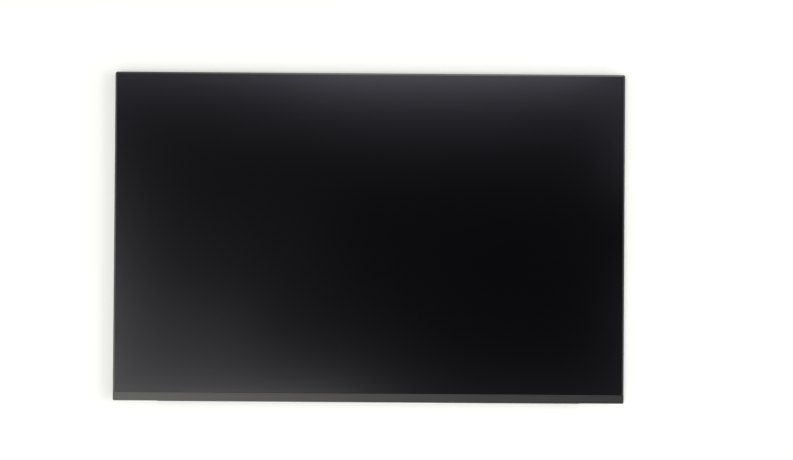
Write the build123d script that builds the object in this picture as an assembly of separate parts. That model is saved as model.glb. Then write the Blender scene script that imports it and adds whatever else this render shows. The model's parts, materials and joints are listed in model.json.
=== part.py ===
from build123d import *
import os
from typing import NamedTuple

# A slim laptop display panel lying on its back, with the picture side up.
# X runs to the right and Y to the top of the picture, and Z comes out of the picture.
# The origin is the middle of the outline, level with the rearmost point. Sizes are in millimetres.

# Picture and the borders round it
picture_width = 301.6
picture_height = 188.5
side_border = 1.9
top_border = 2.1
bottom_border = 6.4
corner_radius = 0.8

# Screen cell, two glasses between two films
front_polarizer_thickness = 0.16
filter_glass_thickness = 0.30
array_glass_thickness = 0.30
rear_polarizer_thickness = 0.12
glass_inset = 0.30  # outline to the glass, at the sides and the top
glass_chamfer = 0.50
polarizer_inset = 0.85  # front glass to the front film, at the sides and the top
polarizer_bottom_inset = 0.20  # the same at the bottom
filter_overlap = 1.05  # picture to the front glass's bottom edge
ledge_setback = 0.60  # tray to the rear glass's bottom edge
bonding_tape_thickness = 0.15
bonding_tape_setback = 0.15  # rear glass's edge to the tape
bonding_tape_margin = 0.10  # tape to the frame's window, and rear film to the tape

# Optical sheets
reflector_thickness = 0.15
guide_thickness = 0.50
diffuser_thickness = 0.11
lower_prism_thickness = 0.13
upper_prism_thickness = 0.17
sheet_clearance = 0.20  # sheets to the frame round them
sheet_headroom = 0.05  # sheets to the frame's shelf above them
ear_width = 10.0
ear_depth = 0.40
ear_inset = 52.0  # outline to the middle of a sheet's ear

# Moulded frame
frame_clearance = 0.05
frame_wall = 0.70
frame_bottom_wall = 0.80
shelf_thickness = 0.20
shelf_overhang = 0.45
shelf_bottom_margin = 0.40  # picture to the shelf's inner edge along the bottom
catch_length = 9.0
catch_height = 0.50
catch_depth = 0.20
catch_pitch = 60.0
catch_clearance = 0.12

# Metal back plate
plate_thickness = 0.30
plate_bend_radius = 0.15  # inside of the bend
bead_length = 200.0
bead_width = 7.0
bead_height = 0.25
bead_spacing = 74.0
bead_draft = 45.0  # degrees

# Light bar along the bottom edge
led_length = 3.0
led_depth = 0.90
led_pitch = 6.9
led_gap = 0.10  # light guide to the lamp's face
led_floor_gap = 0.04
bar_flex_thickness = 0.10
bar_flex_lip = 1.0  # behind the lamps
bar_flex_overlap = 1.4  # over the light guide
bar_flex_clearance = 0.30
bar_tape_thickness = 0.06
tail_width = 8.0
tail_clearance = 0.10
tail_bond_length = 3.0

# Driver board and the flexes that fold round the bottom edge to it
board_thickness = 0.50
board_depth = 13.0
board_end_inset = 28.0  # outline to the board's ends
board_corner_radius = 1.0
board_tape_thickness = 0.15
board_tape_inset = 0.20
board_land_margin = 3.5  # sunk part of the plate beyond the board
tooling_hole_diameter = 1.6
tooling_hole_inset = 4.0
source_flex_thickness = 0.08
source_flex_width = 40.0
source_flex_gap = 26.0
glass_bond_length = 1.35
board_bond_length = 3.0
flex_fold_radius = 0.45
flex_clearance = 0.035  # cover tape to the flexes, and flexes to the tray
driver_length = 24.0
driver_width = 1.2
driver_thickness = 0.32
driver_gap = 0.25  # fold to the chip, and chip to the board

# Black tapes round the edges
tape_thickness = 0.08
tape_seam = 0.10
tape_rear_lap = 3.0
tape_land_margin = 0.20  # sunk part of the plate beyond a tape's rear lap
flap_inset = 26.7  # outline to the ends of the fold of the bottom tape
flap_rear_lap = 1.6  # over the board

# Parts on the board, set out in a row along it
part_spacing = 1.8
chip_edge = 0.10
timing_controller_side = 7.5
timing_controller_height = 0.85
power_manager_side = 5.0
power_manager_height = 0.80
backlight_driver_side = 4.0
backlight_driver_height = 0.80
gamma_buffer_side = 3.5
gamma_buffer_height = 0.75
memory_chip_length = 3.0
memory_chip_width = 2.0
memory_chip_height = 0.60
inductor_side = 4.0
inductor_height = 0.90
inductor_chamfer = 0.80
core_diameter = 2.9
core_groove = 0.18
core_groove_depth = 0.12
small_capacitor_length = 1.0
small_capacitor_width = 0.50
small_capacitor_height = 0.50
small_capacitor_cap = 0.25
large_capacitor_length = 1.6
large_capacitor_width = 0.80
large_capacitor_height = 0.80
large_capacitor_cap = 0.40
resistor_length = 1.0
resistor_width = 0.50
resistor_height = 0.35
resistor_cap = 0.22
cap_lip = 0.02  # end caps beyond the body
passive_gap = 0.45
diode_length = 1.7
diode_width = 1.25
diode_height = 0.70
diode_gap = 1.15
diode_count = 3
diode_lead_length = 0.40
diode_lead_width = 0.50
diode_lead_thickness = 0.12
foil_width = 12.0
foil_thickness = 0.06
foil_board_lap = 2.5
foil_land_lap = 2.9
foil_gap = 0.10
foil_inset = 24.0  # board's end to the middle of a foil

# Video socket
socket_length = 20.5
socket_depth = 4.2
socket_height = 0.95
socket_setback = 0.30  # board's edge to the socket's mouth
socket_shell = 0.12
socket_floor = 0.20
socket_end_wall = 1.40
socket_back_wall = 1.50
socket_notch_margin = 1.5
shell_foot = 0.80
shell_window_length = 2.4
shell_window_depth = 0.80
shell_window_inset = 3.2
contact_count = 30
contact_pitch = 0.50
contact_width = 0.22
contact_thickness = 0.10
contact_setback = 0.50
contact_foot = 0.65
contact_clearance = 0.02


def block(left, right, bottom, top, low, high):
    """A box between its limits."""
    return Pos(left, bottom, low) * Box(right - left, top - bottom, high - low, align=Align.MIN)


class Extent(NamedTuple):
    """A rectangle seen from the front."""

    left: float
    right: float
    bottom: float
    top: float

    def inset(self, side, top=None, bottom=None):
        """The rectangle drawn in by one amount, or by others at the top and the bottom."""
        top_inset = side if top is None else top
        bottom_inset = side if bottom is None else bottom
        return Extent(self.left + side, self.right - side, self.bottom + bottom_inset, self.top - top_inset)

    def slab(self, low, high, radius=0.0):
        """A plate over the rectangle between two levels, with its corners rounded."""
        plate = block(self.left, self.right, self.bottom, self.top, low, high)
        if radius > 0:
            plate = fillet(plate.edges().filter_by(Axis.Z), radius)
        return plate


# Plan of the pieces, from the outline inwards
outline_width = picture_width + 2 * side_border
outline_height = picture_height + top_border + bottom_border
outline = Extent(-outline_width / 2, outline_width / 2, -outline_height / 2, outline_height / 2)
picture = outline.inset(side_border, top_border, bottom_border)
thickest_flex = max(source_flex_thickness, bar_flex_thickness)
fold_room = tape_thickness + thickest_flex + 2 * flex_clearance
flex_edge = outline.bottom + tape_thickness + flex_clearance
tray = outline.inset(tape_thickness, bottom=fold_room)
frame_outside = tray.inset(plate_thickness + frame_clearance)
frame_inside = frame_outside.inset(frame_wall, bottom=frame_bottom_wall)
bar_bottom = frame_inside.bottom + bar_flex_clearance
led_back = bar_bottom + bar_flex_lip
guide_bottom = led_back + led_depth + led_gap
bar_top = guide_bottom + bar_flex_overlap
sheet = frame_inside.inset(sheet_clearance)._replace(bottom=bar_top + sheet_clearance)
guide = sheet._replace(bottom=guide_bottom)
reflector = sheet._replace(bottom=frame_inside.bottom + sheet_clearance)
frame_window = frame_inside.inset(shelf_overhang)._replace(bottom=picture.bottom - shelf_bottom_margin)
array_glass = outline.inset(glass_inset)._replace(bottom=tray.bottom + ledge_setback)
filter_glass = array_glass._replace(bottom=picture.bottom - filter_overlap)
front_film = filter_glass.inset(polarizer_inset, bottom=polarizer_bottom_inset)
bonding_tape = array_glass.inset(bonding_tape_setback)
bonding_window = frame_window.inset(-bonding_tape_margin)
rear_film = bonding_window.inset(bonding_tape_margin)
tape_front_lap = glass_inset + polarizer_inset - tape_seam
flap = (outline.left + flap_inset, outline.right - flap_inset)
driver_bottom = flex_edge + flex_fold_radius + driver_gap
board_bottom = driver_bottom + driver_width + driver_gap
board = Extent(
    outline.left + board_end_inset,
    outline.right - board_end_inset,
    board_bottom,
    board_bottom + board_depth,
)
board_row = (board.bottom + board_bond_length + board.top) / 2
land_width = tape_rear_lap + tape_land_margin
plate_field = tray.inset(land_width)._replace(bottom=board.top + board_land_margin)

# Levels, from the rearmost point to the front
chip_heights = (
    timing_controller_height,
    power_manager_height,
    backlight_driver_height,
    gamma_buffer_height,
    memory_chip_height,
)
passive_heights = (
    inductor_height,
    large_capacitor_height,
    small_capacitor_height,
    resistor_height,
    diode_height,
)
board_rear = max(socket_height, *chip_heights, *passive_heights)
board_front = board_rear + board_thickness
land_rear = board_front + board_tape_thickness
plate_rear = land_rear - tape_thickness
floor_level = plate_rear + plate_thickness
guide_rear = floor_level + reflector_thickness
guide_front = guide_rear + guide_thickness
bar_flex_rear = guide_front + bar_tape_thickness
bar_flex_front = bar_flex_rear + bar_flex_thickness
lower_prism_rear = guide_front + diffuser_thickness
upper_prism_rear = lower_prism_rear + lower_prism_thickness
sheets_front = upper_prism_rear + upper_prism_thickness
shelf_rear = sheets_front + sheet_headroom
shelf_front = shelf_rear + shelf_thickness
flange_front = shelf_rear - frame_clearance
array_rear = shelf_front + bonding_tape_thickness
array_front = array_rear + array_glass_thickness
filter_front = array_front + filter_glass_thickness
screen_front = filter_front + front_polarizer_thickness
band_rear = array_front + source_flex_thickness
tape_fold_start = filter_front + tape_thickness - glass_inset


def spread(count, pitch):
    """Places of equal pieces, centred on zero."""
    return [(index - (count - 1) / 2) * pitch for index in range(count)]


# Flexes share the bottom edge evenly, with the socket and the light bar's tail in the gaps
source_flex_pitch = source_flex_width + source_flex_gap
source_flex_count = int((flap[1] - flap[0] + source_flex_gap) // source_flex_pitch)
source_flex_places = spread(source_flex_count, source_flex_pitch)
socket_x = (source_flex_places[0] + source_flex_places[1]) / 2
tail_x = (source_flex_places[-2] + source_flex_places[-1]) / 2


def folded_strip(span, edge, levels, ends, thickness, radius):
    """A strip folded round the bottom edge.

    span gives its left and right limits, edge the outside of the fold, levels the outer faces of its
    rear and front legs, and ends where those two legs stop.
    """
    left, right = span
    rear, front = levels
    far = max(ends) + thickness
    middle = (rear + front) / 2
    outside = block(left, right, edge, far, rear, front)
    outside = fillet(outside.edges().filter_by(Axis.X).group_by(Axis.Y)[0], radius)
    inside = block(left, right, edge + thickness, far, rear + thickness, front - thickness)
    inside = fillet(inside.edges().filter_by(Axis.X).group_by(Axis.Y)[0], radius - thickness)
    rear_spare = block(left, right, ends[0], far, rear, middle)
    front_spare = block(left, right, ends[1], far, middle, front)
    return outside - inside - rear_spare - front_spare


def edge_tape(turn, reach, span):
    """A tape folded over one edge, made at the bottom edge and turned to its own."""
    levels = (plate_rear, filter_front + tape_thickness)
    ends = (tape_rear_lap - reach, tape_front_lap - reach)
    return Rot(0, 0, turn) * folded_strip(span, -reach, levels, ends, tape_thickness, glass_inset)


def side_tape(turn):
    """The tape over the left or right edge, cut down where the bottom tape covers the ledge."""
    low = tray.bottom + corner_radius
    high = tray.top - corner_radius
    span = (low, high) if turn > 0 else (-high, -low)
    tape = edge_tape(turn, outline.right, span)
    ledge_top = filter_glass.bottom - tape_seam
    return tape - block(outline.left, outline.right, tray.bottom, ledge_top, band_rear, screen_front)


def top_tape():
    """The tape over the top edge, its laps between those of the side tapes."""
    half = tray.right - corner_radius
    tape = edge_tape(180, outline.top, (-half, half))
    front = (tape_front_lap, tape_fold_start, screen_front)
    rear = (tape_rear_lap, plate_rear, plate_rear + glass_inset)
    for lap, low, high in (front, rear):
        lap_end = outline.right - lap - tape_seam
        for left, right in ((outline.left, -lap_end), (lap_end, outline.right)):
            tape -= block(left, right, outline.top - lap, outline.top, low, high)
    return tape


def bottom_tape():
    """The band over the glass ledge, with a flap folded round the edge to the board."""
    band = Extent(outline.left, outline.right, tray.bottom, filter_glass.bottom - tape_seam)
    tape = band.slab(band_rear, band_rear + tape_thickness)
    corners = tape.edges().filter_by(Axis.Z).group_by(Axis.Y)[0]
    tape = fillet(corners, corner_radius)
    rear = board_rear - thickest_flex - tape_thickness
    levels = (rear, band_rear + tape_thickness)
    ends = (board.bottom + flap_rear_lap, array_glass.bottom)
    radius = flex_fold_radius + tape_thickness
    tape += folded_strip(flap, outline.bottom, levels, ends, tape_thickness, radius)
    half = socket_length / 2 + socket_notch_margin
    return tape - block(socket_x - half, socket_x + half, driver_bottom, board.top, rear, board_rear)


def glass_sheet(extent, low, high):
    """A glass sheet with its corners cut."""
    plate = extent.slab(low, high)
    return chamfer(plate.edges().filter_by(Axis.Z), glass_chamfer)


def cell_bonding_tape():
    """The tape ring that holds the rear glass on the frame's shelf."""
    return bonding_tape.slab(shelf_front, array_rear) - bonding_window.slab(shelf_front, array_rear)


def ear_places():
    """Middles of the sheets' ears along the top edge."""
    return (outline.left + ear_inset, outline.right - ear_inset)


def optical_sheet(extent, low, high):
    """A backlight sheet with ears that locate it in the frame's top wall."""
    plate = extent.slab(low, high)
    for x in ear_places():
        top = extent.top + ear_depth
        plate += block(x - ear_width / 2, x + ear_width / 2, extent.top - ear_depth, top, low, high)
    return plate


def catches(grow, reach):
    """Catches on the frame's sides and top, or with grow the plate's windows for them."""
    half_length = catch_length / 2 + grow
    half_height = catch_height / 2 + grow
    middle = (floor_level + flange_front) / 2
    low, high = middle - half_height, middle + half_height
    pieces = []
    for y in spread(int((tray.top - tray.bottom) // catch_pitch), catch_pitch):
        for wall, tip in ((frame_outside.left, -reach), (frame_outside.right, reach)):
            left, right = sorted((wall, wall + tip))
            pieces.append(block(left, right, y - half_length, y + half_length, low, high))
    for x in spread(int((tray.right - tray.left) // catch_pitch), catch_pitch):
        wall = frame_outside.top
        pieces.append(block(x - half_length, x + half_length, wall, wall + reach, low, high))
    return pieces


def moulded_frame():
    """The frame that holds the sheets in the tray and carries the screen cell on its shelf."""
    inner_radius = corner_radius - plate_thickness
    walls = frame_outside.slab(floor_level, shelf_rear, inner_radius)
    walls = chamfer(walls.faces().sort_by(Axis.Z)[0].edges(), plate_bend_radius)
    walls -= frame_inside.slab(floor_level, shelf_rear)
    shelf = tray.slab(shelf_rear, shelf_front, corner_radius) - frame_window.slab(shelf_rear, shelf_front)
    frame = walls + shelf
    for catch in catches(0.0, frame_clearance + catch_depth):
        frame += catch
    for x in ear_places():
        half = ear_width / 2 + sheet_clearance
        top = sheet.top + ear_depth + sheet_clearance
        frame -= block(x - half, x + half, sheet.top, top, floor_level, shelf_rear)
    half = tail_width / 2 + tail_clearance
    low = bar_flex_rear - tail_clearance
    return frame - block(tail_x - half, tail_x + half, tray.bottom, bar_bottom, low, shelf_rear)


def stiffening_bead(y):
    """A shallow bead pressed out of the plate, with sloping sides."""
    slot = Plane(origin=(0, y, plate_rear), z_dir=(0, 0, -1)) * SlotOverall(bead_length, bead_width)
    return extrude(slot, bead_height, taper=bead_draft)


def back_plate():
    """The tray that closes the rear, sunk where the tapes and the board lie on it."""
    plate = tray.slab(land_rear, flange_front, corner_radius)
    rear_edges = plate.faces().sort_by(Axis.Z)[0].edges()
    plate = fillet(rear_edges, plate_bend_radius + plate_thickness - tape_thickness)
    hollow = tray.inset(plate_thickness).slab(floor_level, flange_front, corner_radius - plate_thickness)
    hollow = fillet(hollow.faces().sort_by(Axis.Z)[0].edges(), plate_bend_radius)
    plate = plate - hollow + plate_field.slab(plate_rear, land_rear)
    field_middle = (plate_field.bottom + plate_field.top) / 2
    for offset in spread(2, bead_spacing):
        bead = stiffening_bead(field_middle + offset)
        plate = plate + bead - Pos(0, 0, plate_thickness) * bead
    for window in catches(catch_clearance, frame_clearance + plate_thickness):
        plate -= window
    half = tail_width / 2 + tail_clearance
    notch_floor = bar_flex_front - flex_fold_radius - tail_clearance
    wall_inside = tray.bottom + plate_thickness
    return plate - block(tail_x - half, tail_x + half, tray.bottom, wall_inside, notch_floor, flange_front)


def light_bar_flex():
    """The lamps' flexible strip, with a tail folded round the edge to the board."""
    strip = block(guide.left, guide.right, bar_bottom, bar_top, bar_flex_rear, bar_flex_front)
    span = (tail_x - tail_width / 2, tail_x + tail_width / 2)
    levels = (board_rear - bar_flex_thickness, bar_flex_front)
    ends = (board.bottom + tail_bond_length, bar_bottom)
    return strip + folded_strip(span, flex_edge, levels, ends, bar_flex_thickness, flex_fold_radius)


def light_bar_lamps():
    """The row of lamps under the strip, facing the light guide's edge."""
    count = int((guide.right - guide.left - led_length) // led_pitch) + 1
    low = guide_rear + led_floor_gap
    lamps = []
    for x in spread(count, led_pitch):
        left, right = x - led_length / 2, x + led_length / 2
        lamps.append(block(left, right, led_back, led_back + led_depth, low, bar_flex_rear))
    return Compound(children=lamps)


def source_flex(x):
    """A flexible film from the rear glass's ledge round the edge to the board."""
    span = (x - source_flex_width / 2, x + source_flex_width / 2)
    levels = (board_rear - source_flex_thickness, band_rear)
    ends = (board.bottom + board_bond_length, array_glass.bottom + glass_bond_length)
    return folded_strip(span, flex_edge, levels, ends, source_flex_thickness, flex_fold_radius)


def source_driver(x):
    """The long driver chip on the inside of a flex, between the fold and the board."""
    left, right = x - driver_length / 2, x + driver_length / 2
    top = driver_bottom + driver_width
    return block(left, right, driver_bottom, top, board_rear, board_rear + driver_thickness)


def driver_board():
    """The narrow circuit board behind the bottom edge."""
    plate = board.slab(board_rear, board_front, board_corner_radius)
    y = board.top - tooling_hole_inset
    for x in (board.left + tooling_hole_inset, board.right - tooling_hole_inset):
        hole = Cylinder(tooling_hole_diameter / 2, 2 * board_thickness)
        plate -= Pos(x, y, (board_rear + board_front) / 2) * hole
    return plate


def eased_block(x, y, length, width, height):
    """A block on the board with its rear edges eased."""
    left, right = x - length / 2, x + length / 2
    bottom, top = y - width / 2, y + width / 2
    body = block(left, right, bottom, top, board_rear - height, board_rear)
    return chamfer(body.faces().sort_by(Axis.Z)[0].edges(), chip_edge)


class Chip(NamedTuple):
    """A packaged chip."""

    length: float
    width: float
    height: float

    def solids(self, x):
        return [eased_block(x, board_row, self.length, self.width, self.height)]


class Choke(NamedTuple):
    """A square ferrite inductor with cut corners and a ring groove round its core."""

    length: float

    def solids(self, x):
        half = self.length / 2
        rear = board_rear - inductor_height
        body = block(x - half, x + half, board_row - half, board_row + half, rear, board_rear)
        body = chamfer(body.edges().filter_by(Axis.Z), inductor_chamfer)
        upright = (Align.CENTER, Align.CENTER, Align.MIN)
        groove = Cylinder(core_diameter / 2 + core_groove, core_groove_depth, align=upright)
        groove -= Cylinder(core_diameter / 2, core_groove_depth, align=upright)
        return [body - Pos(x, board_row, rear) * groove]


class TwoEnded(NamedTuple):
    """A small part with a body between two slightly larger end caps."""

    length: float
    width: float
    height: float
    cap: float

    def solid(self, x, y):
        rear = board_rear - self.height
        left, right = x - self.length / 2, x + self.length / 2
        low, high = y - self.width / 2, y + self.width / 2
        part = block(left, right, low + cap_lip, high - cap_lip, rear + cap_lip, board_rear)
        for cap_left in (left, right - self.cap):
            part += block(cap_left, cap_left + self.cap, low, high, rear, board_rear)
        return part


class Bank(NamedTuple):
    """A block of equal two-ended parts, in columns along the board and rows across it."""

    part: TwoEnded
    columns: int
    rows: int

    @property
    def length(self):
        return self.columns * (self.part.length + passive_gap) - passive_gap

    def solids(self, x):
        column_places = spread(self.columns, self.part.length + passive_gap)
        row_places = spread(self.rows, self.part.width + passive_gap)
        return [self.part.solid(x + dx, board_row + dy) for dx in column_places for dy in row_places]


class DiodeColumn(NamedTuple):
    """Diodes across the board, each with a flat lead at both ends."""

    count: int

    @property
    def length(self):
        return diode_length + 2 * diode_lead_length

    def solids(self, x):
        parts = []
        for offset in spread(self.count, diode_width + diode_gap):
            y = board_row + offset
            body = eased_block(x, y, diode_length, diode_width, diode_height)
            low, high = y - diode_lead_width / 2, y + diode_lead_width / 2
            rear = board_rear - diode_lead_thickness
            parts.append(body + block(x - self.length / 2, x + self.length / 2, low, high, rear, board_rear))
        return parts


resistor = TwoEnded(resistor_length, resistor_width, resistor_height, resistor_cap)
small_capacitor = TwoEnded(
    small_capacitor_length, small_capacitor_width, small_capacitor_height, small_capacitor_cap
)
large_capacitor = TwoEnded(
    large_capacitor_length, large_capacitor_width, large_capacitor_height, large_capacitor_cap
)
board_order = [
    ("resistors", Bank(resistor, 2, 5)),
    ("capacitors", Bank(small_capacitor, 2, 5)),
    ("gamma_buffer", Chip(gamma_buffer_side, gamma_buffer_side, gamma_buffer_height)),
    ("inductor_1", Choke(inductor_side)),
    ("power_manager", Chip(power_manager_side, power_manager_side, power_manager_height)),
    ("capacitors", Bank(large_capacitor, 2, 4)),
    ("resistors", Bank(resistor, 2, 6)),
    ("capacitors", Bank(small_capacitor, 2, 6)),
    ("timing_controller", Chip(timing_controller_side, timing_controller_side, timing_controller_height)),
    ("memory_chip", Chip(memory_chip_length, memory_chip_width, memory_chip_height)),
    ("capacitors", Bank(small_capacitor, 2, 6)),
    ("resistors", Bank(resistor, 2, 5)),
    ("inductor_2", Choke(inductor_side)),
    ("backlight_driver", Chip(backlight_driver_side, backlight_driver_side, backlight_driver_height)),
    ("capacitors", Bank(large_capacitor, 2, 4)),
    ("diodes", DiodeColumn(diode_count)),
    ("resistors", Bank(resistor, 2, 4)),
]
edge_bank = Bank(small_capacitor, 6, 2)  # above each outer flex


def board_parts():
    """The solids of each node on the board, placed one after another with equal spaces."""
    nodes = {}
    x = -(sum(item.length for _, item in board_order) + part_spacing * (len(board_order) - 1)) / 2
    for node, item in board_order:
        nodes.setdefault(node, []).extend(item.solids(x + item.length / 2))
        x += item.length + part_spacing
    for flex_x in (source_flex_places[0], source_flex_places[-1]):
        nodes["capacitors"] += edge_bank.solids(flex_x)
    return nodes


def grounding_foil(x):
    """A metal foil from the board's rear face down to the sunk part of the plate."""
    left, right = x - foil_width / 2, x + foil_width / 2
    step = board.top + foil_gap
    outer = step + foil_thickness
    rear = board_rear - foil_thickness
    foil = block(left, right, board.top - foil_board_lap, outer, rear, board_rear)
    foil += block(left, right, step, outer, rear, land_rear)
    return foil + block(left, right, step, step + foil_land_lap, land_rear - foil_thickness, land_rear)


# Plan and levels of the video socket, whose mouth faces the bottom edge
socket_mouth = board.bottom + socket_setback
socket_back = socket_mouth + socket_depth
socket_rear = board_rear - socket_height
socket_left = socket_x - socket_length / 2
socket_right = socket_x + socket_length / 2
housing_left = socket_left + socket_shell
housing_right = socket_right - socket_shell
housing_rear = socket_rear + socket_shell
contact_seat = board_rear - socket_floor
contact_rear = contact_seat - contact_thickness


def socket_housing():
    """The moulded body: a floor for the contacts, two end walls and a back wall."""
    body = block(housing_left, housing_right, socket_mouth, socket_back, housing_rear, board_rear)
    slot_left = housing_left + socket_end_wall
    slot_right = housing_right - socket_end_wall
    slot_back = socket_back - socket_back_wall
    body -= block(slot_left, slot_right, socket_mouth, slot_back, housing_rear, contact_seat)
    half = contact_width / 2 + contact_clearance
    for x in spread(contact_count, contact_pitch):
        left, right = socket_x + x - half, socket_x + x + half
        body -= block(left, right, slot_back, socket_back, contact_rear - contact_clearance, contact_seat)
    return body


def socket_contacts():
    """Flat contacts on the housing's floor, each with a foot on the board behind."""
    step = socket_back + contact_clearance
    heel = step + contact_thickness
    pieces = []
    for x in spread(contact_count, contact_pitch):
        left, right = socket_x + x - contact_width / 2, socket_x + x + contact_width / 2
        contact = block(left, right, socket_mouth + contact_setback, heel, contact_rear, contact_seat)
        contact += block(left, right, step, heel, contact_rear, board_rear)
        foot_rear = board_rear - contact_thickness
        contact += block(left, right, step, step + contact_foot, foot_rear, board_rear)
        pieces.append(contact)
    return Compound(children=pieces)


def socket_shell_cover():
    """The metal cover over the housing, with side walls and feet soldered to the board."""
    cover = block(socket_left, socket_right, socket_mouth, socket_back, socket_rear, housing_rear)
    foot_rear = board_rear - socket_shell
    sides = (
        (socket_left, housing_left, socket_left - shell_foot, housing_left),
        (housing_right, socket_right, housing_right, socket_right + shell_foot),
    )
    for wall_left, wall_right, foot_left, foot_right in sides:
        cover += block(wall_left, wall_right, socket_mouth, socket_back, socket_rear, board_rear)
        cover += block(foot_left, foot_right, socket_mouth, socket_back, foot_rear, board_rear)
    for middle in (socket_left + shell_window_inset, socket_right - shell_window_inset):
        left, right = middle - shell_window_length / 2, middle + shell_window_length / 2
        y = (socket_mouth + socket_back) / 2
        low, high = y - shell_window_depth / 2, y + shell_window_depth / 2
        cover -= block(left, right, low, high, socket_rear, housing_rear)
    return cover


pieces = {
    "front_polarizer": front_film.slab(filter_front, screen_front),
    "color_filter_glass": glass_sheet(filter_glass, array_front, filter_front),
    "array_glass": glass_sheet(array_glass, array_rear, array_front),
    "rear_polarizer": rear_film.slab(array_rear - rear_polarizer_thickness, array_rear),
    "cell_bonding_tape": cell_bonding_tape(),
    "moulded_frame": moulded_frame(),
    "upper_prism_sheet": optical_sheet(sheet, upper_prism_rear, sheets_front),
    "lower_prism_sheet": optical_sheet(sheet, lower_prism_rear, upper_prism_rear),
    "diffuser_sheet": optical_sheet(sheet, guide_front, lower_prism_rear),
    "light_guide_plate": guide.slab(guide_rear, guide_front),
    "reflector_sheet": optical_sheet(reflector, floor_level, guide_rear),
    "light_bar_flex": light_bar_flex(),
    "light_bar_lamps": light_bar_lamps(),
    "light_bar_tape": block(guide.left, guide.right, guide.bottom, bar_top, guide_front, bar_flex_rear),
    "back_plate": back_plate(),
    "left_edge_tape": side_tape(-90),
    "right_edge_tape": side_tape(90),
    "top_edge_tape": top_tape(),
    "bottom_cover_tape": bottom_tape(),
    "driver_board": driver_board(),
    "board_bonding_tape": board.inset(board_tape_inset).slab(board_front, land_rear, board_corner_radius),
    "left_grounding_foil": grounding_foil(board.left + foil_inset),
    "right_grounding_foil": grounding_foil(board.right - foil_inset),
    "video_socket_housing": socket_housing(),
    "video_socket_contacts": socket_contacts(),
    "video_socket_shell": socket_shell_cover(),
}
for number, place in enumerate(source_flex_places, start=1):
    pieces[f"source_flex_{number}"] = source_flex(place)
    pieces[f"source_driver_{number}"] = source_driver(place)
for name, solids in board_parts().items():
    pieces[name] = solids[0] if len(solids) == 1 else Compound(children=solids)

os.makedirs("parts", exist_ok=True)
for name, piece in pieces.items():
    export_step(piece, f"parts/{name}.step")
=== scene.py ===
import json
import math

import bmesh
import bpy
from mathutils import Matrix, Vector


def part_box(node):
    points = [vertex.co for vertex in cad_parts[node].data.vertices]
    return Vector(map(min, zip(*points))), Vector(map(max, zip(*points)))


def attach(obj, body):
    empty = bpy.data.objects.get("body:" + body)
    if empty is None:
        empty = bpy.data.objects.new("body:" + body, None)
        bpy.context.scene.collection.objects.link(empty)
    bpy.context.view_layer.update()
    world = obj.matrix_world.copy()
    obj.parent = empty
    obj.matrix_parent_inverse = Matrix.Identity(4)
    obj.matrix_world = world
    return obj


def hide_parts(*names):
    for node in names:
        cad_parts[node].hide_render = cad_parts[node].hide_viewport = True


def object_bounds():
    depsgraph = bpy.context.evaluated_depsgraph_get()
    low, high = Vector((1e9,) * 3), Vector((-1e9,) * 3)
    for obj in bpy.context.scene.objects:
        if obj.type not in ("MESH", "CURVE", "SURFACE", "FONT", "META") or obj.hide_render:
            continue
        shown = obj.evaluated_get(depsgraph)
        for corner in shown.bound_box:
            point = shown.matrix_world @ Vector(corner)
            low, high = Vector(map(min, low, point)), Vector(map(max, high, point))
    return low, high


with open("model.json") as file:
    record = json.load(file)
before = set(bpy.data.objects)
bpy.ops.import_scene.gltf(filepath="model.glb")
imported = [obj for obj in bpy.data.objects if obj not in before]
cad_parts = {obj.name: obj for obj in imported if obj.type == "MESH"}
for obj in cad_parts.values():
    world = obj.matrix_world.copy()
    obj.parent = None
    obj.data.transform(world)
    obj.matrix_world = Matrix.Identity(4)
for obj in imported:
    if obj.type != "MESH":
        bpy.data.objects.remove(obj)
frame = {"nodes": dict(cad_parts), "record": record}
cad_low, cad_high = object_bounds()

# The panel lies on its back: X to the right, Y to the top of the picture, Z out of it.
# Pieces and patterns are worked out in millimetres, and the objects are in metres.
mm = 0.001

# Borders between the outline and the picture
side_border = 1.9
top_border = 2.1
bottom_border = 6.4

# Fine patterns on the finishes
dot_pitch = 0.157  # of the picture
stripes_per_dot = 3
ledge_lead_pitch = 0.12
prism_pitch = 0.05
guide_dot_pitch = 0.9
strip_lead_pitch = 0.8
weave_pitch = 0.55
flex_lead_pitch = 0.45
crease_size = 1.9
cloud_grains = 30  # a cloud in a mottled finish is this many grains across
cut_glass = (0.09, 0.16, 0.13)

# The window of each lamp, in from the ends and from the front and rear of its package
window_rim = 0.35
window_edge = 0.06

# Along the top edge the tape's colour is painted paler between these places: a painted sheen, lighter where
# the lamps' light would be reflected
sheen_start = -135.0
sheen_end = 0.0

# Between these shares of facing along an axis, a surface comes to count as facing it
facing_limits = (0.4, 0.6)

same_place = 0.001  # corners of a node closer than this are one corner


class Value:
    """A shader socket that can stand in an expression. Each operator adds a Math node."""

    def __init__(self, paint, socket):
        self.paint = paint
        self.socket = socket

    def math(self, operation, *operands):
        return self.paint.node("ShaderNodeMath", {"operation": operation}, dict(enumerate(operands)))

    def __add__(self, other):
        return self.math("ADD", self, other)

    __radd__ = __add__

    def __sub__(self, other):
        return self.math("SUBTRACT", self, other)

    def __rsub__(self, other):
        return self.math("SUBTRACT", other, self)

    def __mul__(self, other):
        return self.math("MULTIPLY", self, other)

    __rmul__ = __mul__

    def __truediv__(self, other):
        return self.math("DIVIDE", self, other)

    def __mod__(self, other):
        return self.math("FLOORED_MODULO", self, other)

    def __abs__(self):
        return self.math("ABSOLUTE", self)


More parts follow.
